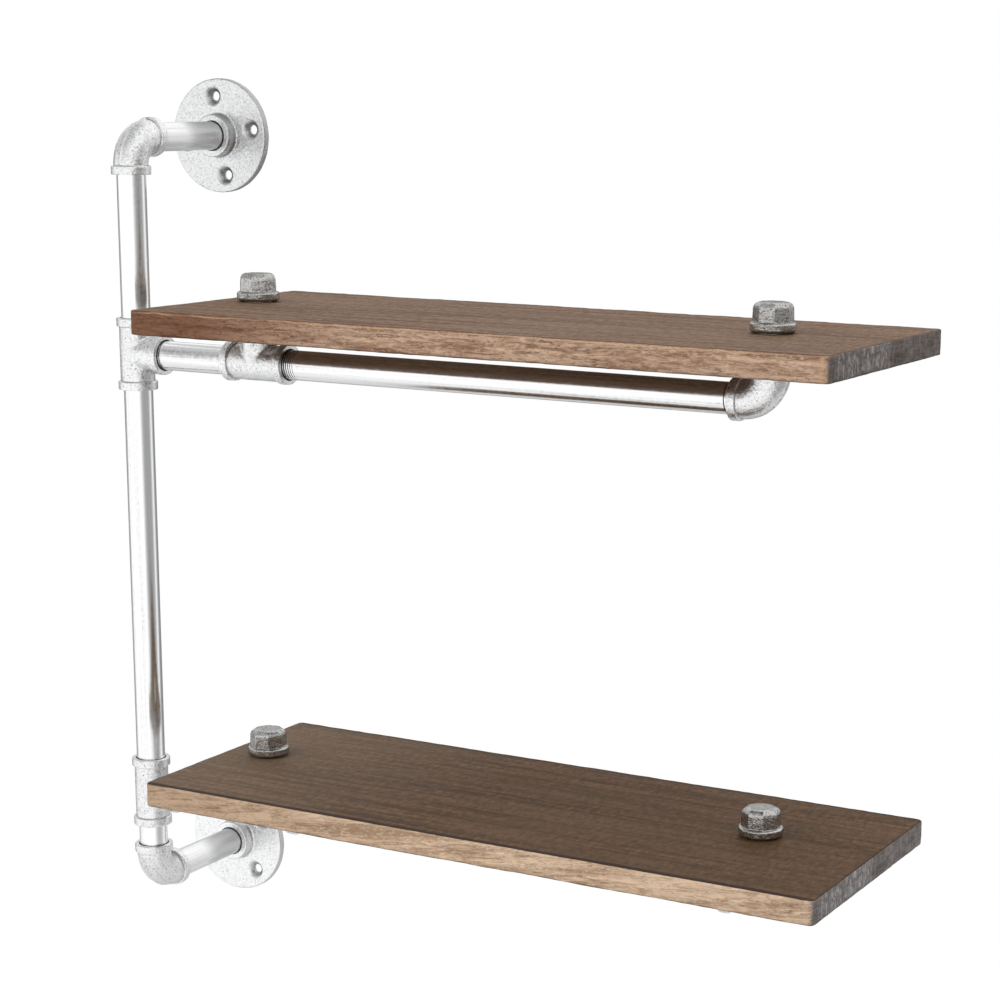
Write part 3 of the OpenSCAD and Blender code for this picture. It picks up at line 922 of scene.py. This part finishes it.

    # A pale worn line runs under the top front edge, dark stain has gathered along the rims of the top, and
    # painted shade darkens the sides along their foot.
    at_front = ramp(from_front, 0.0006, 0.0014, 1.0, 0.0)
    under_edge = maths("MULTIPLY", ramp(from_top, 0.0012, 0.0015), ramp(from_top, 0.0018, 0.0024, 1.0, 0.0))
    rubbed = noise((30.0, 160.0, 160.0), detail=4.0, roughness=0.65)
    rubbed = ramp(rubbed, 0.34, 0.52, 0.25, 1.0)
    worn = maths("MULTIPLY", maths("MULTIPLY", under_edge, at_front), rubbed)
    corner = maths("MULTIPLY", ramp(from_right, 0.0035, 0.0045), ramp(from_right, 0.0060, 0.0085, 1.0, 0.0))
    corner = maths("MULTIPLY", corner, maths("MULTIPLY", at_front, ramp(figure, 0.35, 0.6, 0.4, 1.0)))
    worn = maths("MULTIPLY", maths("MAXIMUM", worn, corner), look["worn_share"])
    colour = mix(worn, colour, look["worn"])
    front_line = ramp(from_front, look["line_w"], look["line_w"] + 0.0008, 1.0, 0.0)
    end_lines = ramp(maths("MINIMUM", from_left, from_right), 0.0010, 0.0025, 0.8, 0.0)
    back_line = ramp(from_back, 0.0030, 0.0060, 0.8, 0.0)
    rims = maths("MAXIMUM", maths("MAXIMUM", front_line, end_lines), back_line)
    top_line = maths("MULTIPLY", maths("MULTIPLY", rims, on_face), ramp(apart[2], 0.0, 0.001))
    # The dark line along the foot of the sides is painted shade under the bottom edge.
    foot_shade_line = maths("MULTIPLY", ramp(from_bottom, 0.0008, 0.0018, 0.8, 0.0), sides)
    stain_and_shade_lines = maths("MAXIMUM", top_line, foot_shade_line)
    colour = mix(maths("MULTIPLY", stain_and_shade_lines, look["line_share"]), colour, look["line"])
    join(colour, "Base Color")

    # The stain is dull and hardly shines. Grain, figure and saw marks stand up, and pores sink in.
    rough = ramp(grain, 0.38, 0.62, 0.62, 0.48)
    join(rough, "Roughness")
    shader.inputs["Specular IOR Level"].default_value = 0.14
    relief = maths("MULTIPLY", grain, maths("SUBTRACT", 1.0, maths("MULTIPLY", sides, 0.8)))
    relief = maths("ADD", relief, maths("MULTIPLY", figure, sides))
    relief = maths("ADD", relief, maths("MULTIPLY", saw, maths("MULTIPLY", on_end, 0.8)))
    relief = maths("SUBTRACT", relief, maths("MULTIPLY", pores, 0.3))
    bump = add("Bump", None, Strength=0.45, Distance=0.0006, Height=relief)
    join(bump.outputs[0], "Normal")
    return material


# The upper board is a warm mid brown. The lower one is darker on top and paler in front.
looks = {
    "upper": {
        "face": (0.330, 0.194, 0.117), "face_dark": (0.115, 0.064, 0.036),
        "face_olive": (0.225, 0.145, 0.087), "pore": (0.07, 0.042, 0.030), "fleck": (0.88, 0.68, 0.52),
        "front": (0.80, 0.55, 0.385), "front_dark": (0.36, 0.20, 0.125), "left_shade_and_foot_tint": (0.32, 0.215, 0.175),
        "end": (0.36, 0.30, 0.27), "end_dark": (0.115, 0.092, 0.080), "scratch": (0.70, 0.67, 0.70),
        "worn": (0.74, 0.47, 0.28), "worn_share": 0.75, "line": (0.06, 0.035, 0.025), "line_w": 0.0008,
        "line_share": 0.8, "slant": 0.0, "left_shade_and_foot_share": 0.95, "left_sheen": 0.0, "dot_share": 0.6,
    },
    "lower": {
        "face": (0.220, 0.116, 0.056), "face_dark": (0.080, 0.042, 0.020),
        "face_olive": (0.135, 0.079, 0.036), "pore": (0.07, 0.045, 0.030), "fleck": (0.95, 0.78, 0.60),
        "front": (0.92, 0.67, 0.47), "front_dark": (0.49, 0.315, 0.20), "left_shade_and_foot_tint": (0.55, 0.50, 0.46),
        "end": (0.46, 0.41, 0.39), "end_dark": (0.15, 0.127, 0.115), "scratch": (0.78, 0.76, 0.77),
        "worn": (0.80, 0.64, 0.50), "worn_share": 0.3, "line": (0.035, 0.020, 0.013), "line_w": 0.0045,
        "line_share": 0.9, "slant": 0.12, "left_shade_and_foot_share": 0.6, "left_sheen": 0.10, "dot_share": 0.4,
    },
}
blank_plank = plank()
for level in ("upper", "lower"):
    centre = middle(level + "_board")
    board = copied(blank_plank, "plank_" + level + "_board", Matrix.Translation(centre))
    for size, depth in wear:
        roughen(board, size, depth, mid_level=1.0)
    for x in (arm_start, arm_end):
        drill = drum(riser_hole_r, -board_t, board_t)
        shape(board, "DIFFERENCE", settle(drill, Matrix.Translation((x, column_y, centre.z))))
    weld(board)
    bpy.ops.object.shade_smooth_by_angle(angle=radians(40))
    board.data.materials.clear()
    board.data.materials.append(plank_wood(level + "_board_wood", centre, looks[level]))
    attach(board, "root")
    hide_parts(level + "_board")
bpy.data.objects.remove(blank_plank)


# Caps.
# Malleable caps screwed down on the risers: a round band at the foot, eight
# flats for the wrench, a rounded top, and a rough, dull grey, pitted skin.
cap_h = 0.0195
cap_flats_w = 0.0259
cap_taper = 0.0009
cap_band_r = 0.0152
cap_band_h = 0.0064
cap_shoulder = 0.0040
cap_grain = 0.00036
flats = 8
corner_rad = cap_flats_w / 2 / cos(pi / flats)
bpy.ops.object.select_all(action="DESELECT")
bpy.ops.mesh.primitive_cone_add(vertices=flats, radius1=corner_rad, radius2=corner_rad - cap_taper,
                                depth=cap_h, location=(0, 0, cap_h / 2))
cap = settle(bpy.context.object)
settle(cap, Matrix.Rotation(pi / flats, 4, "Z"))
pick_edges(cap, lambda a, b: min(a.z, b.z) > cap_h / 2)
bpy.ops.mesh.bevel(offset=cap_shoulder, segments=5)
bpy.ops.object.mode_set(mode="OBJECT")
soft = 0.0008
foot = 0.0015
outline = [
    (bore_r, 0), (cap_band_r - foot, 0), (cap_band_r, foot),
    (cap_band_r, cap_band_h - soft), (cap_band_r - soft, cap_band_h), (bore_r, cap_band_h),
]
melt(cap, [turned("cap_band", outline)], cap_grain, rounds=1)
cap_bore = limb_bore(fitting_end - socket_l)
settle(cap_bore, Matrix.Translation((0, 0, fitting_end)) @ upside_down)
cap_zinc = cast_zinc("dull_cast_zinc", (0.54, 0.533, 0.52), (0.23, 0.227, 0.222), (0.04, 0.038, 0.036),
                     speck_size=0.0011, pit_share=0.03, patch_share=0.10, roughness=(0.15, 0.26))
coarse_sand = ((0.0014, 0.00018), (0.004, 0.00018))
# Each cap stopped at its own angle when it was tight.
cap_turns = {"upper_left_cap": 38.5, "upper_right_cap": 4, "lower_left_cap": 12, "lower_right_cap": 7}
for node, turn in cap_turns.items():
    spot = middle(node)
    spot.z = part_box(node)[0].z
    where = Matrix.Translation(spot) @ Matrix.Rotation(radians(turn), 4, "Z")
    cast_piece(cap, cap_bore, node, where, cap_zinc, coarse_sand)
for blank in (cap, cap_bore):
    bpy.data.objects.remove(blank)
